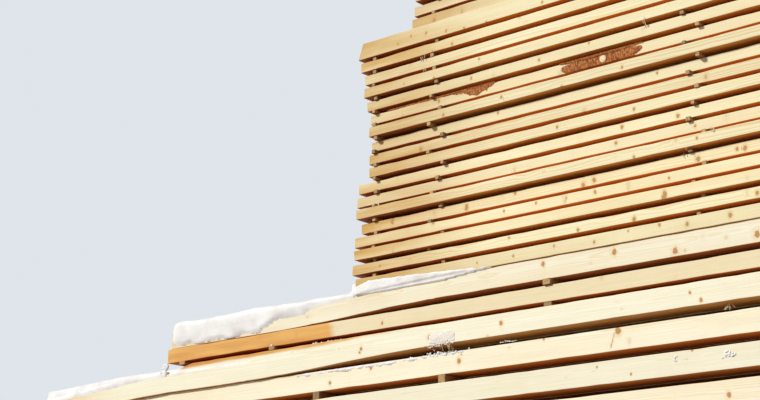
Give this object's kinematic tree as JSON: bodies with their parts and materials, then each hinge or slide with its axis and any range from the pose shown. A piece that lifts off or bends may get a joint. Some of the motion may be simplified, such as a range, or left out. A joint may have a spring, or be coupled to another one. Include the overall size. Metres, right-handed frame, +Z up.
{
  "type": "stack of lumber",
  "caption": "Tall hand-built stack of sawn lumber: long beams on ground bearers, shorter beams and boards above, with drying sticks between the layers.",
  "frame": {"origin": "on the ground under the middle of the stack's long beams, at the centre of the middle bearer's underside", "axes": "+Z up, X along the lumber, -Y out of the long face that the picture shows"},
  "size_m": [7.2478, 1.273, 3.58],
  "materials": {
    "sawn_board": "rough-sawn spruce and pine boards, pale cream yellow with small knots",
    "sawn_beam": "rough-sawn spruce and pine beams, pale yellow, with knots and frost",
    "damp_beam": "rough-sawn beams, orange where they are damp",
    "stick": "weathered sawn sticks, duller than the boards",
    "bearer": "weathered grey-brown sawn bearers"
  },
  "bodies": {
    "root": {"beam_layer_1": "damp_beam", "beam_layer_2": "sawn_beam", "beam_sticks": "stick", "ground_bearers": "bearer", "long_beam_layer_1": "sawn_beam", "long_beam_layer_10": "sawn_beam", "long_beam_layer_11": "sawn_beam", "long_beam_layer_12": "sawn_beam", "long_beam_layer_2": "sawn_beam", "long_beam_layer_3": "sawn_beam", "long_beam_layer_4": "sawn_beam", "long_beam_layer_5": "sawn_beam", "long_beam_layer_6": "sawn_beam", "long_beam_layer_7": "sawn_beam", "long_beam_layer_8": "sawn_beam", "long_beam_layer_9": "sawn_beam", "long_beam_sticks": "stick", "lower_board_layer_1": "sawn_board", "lower_board_layer_2": "sawn_board", "lower_board_layer_3": "sawn_board", "lower_board_layer_4": "sawn_board", "lower_board_layer_5": "sawn_board", "lower_board_layer_6": "sawn_board", "lower_board_layer_7": "sawn_board", "lower_board_layer_8": "sawn_board", "lower_board_sticks": "stick", "top_board_layer_1": "sawn_board", "top_board_layer_2": "sawn_board", "top_board_layer_3": "sawn_board", "top_board_layer_4": "sawn_board", "top_board_layer_5": "sawn_board", "top_board_sticks": "stick", "upper_board_layer_1": "sawn_board", "upper_board_layer_10": "sawn_board", "upper_board_layer_2": "sawn_board", "upper_board_layer_3": "sawn_board", "upper_board_layer_4": "sawn_board", "upper_board_layer_5": "sawn_board", "upper_board_layer_6": "sawn_board", "upper_board_layer_7": "sawn_board", "upper_board_layer_8": "sawn_board", "upper_board_layer_9": "sawn_board", "upper_board_sticks": "stick"}
  },
  "joints": []
}
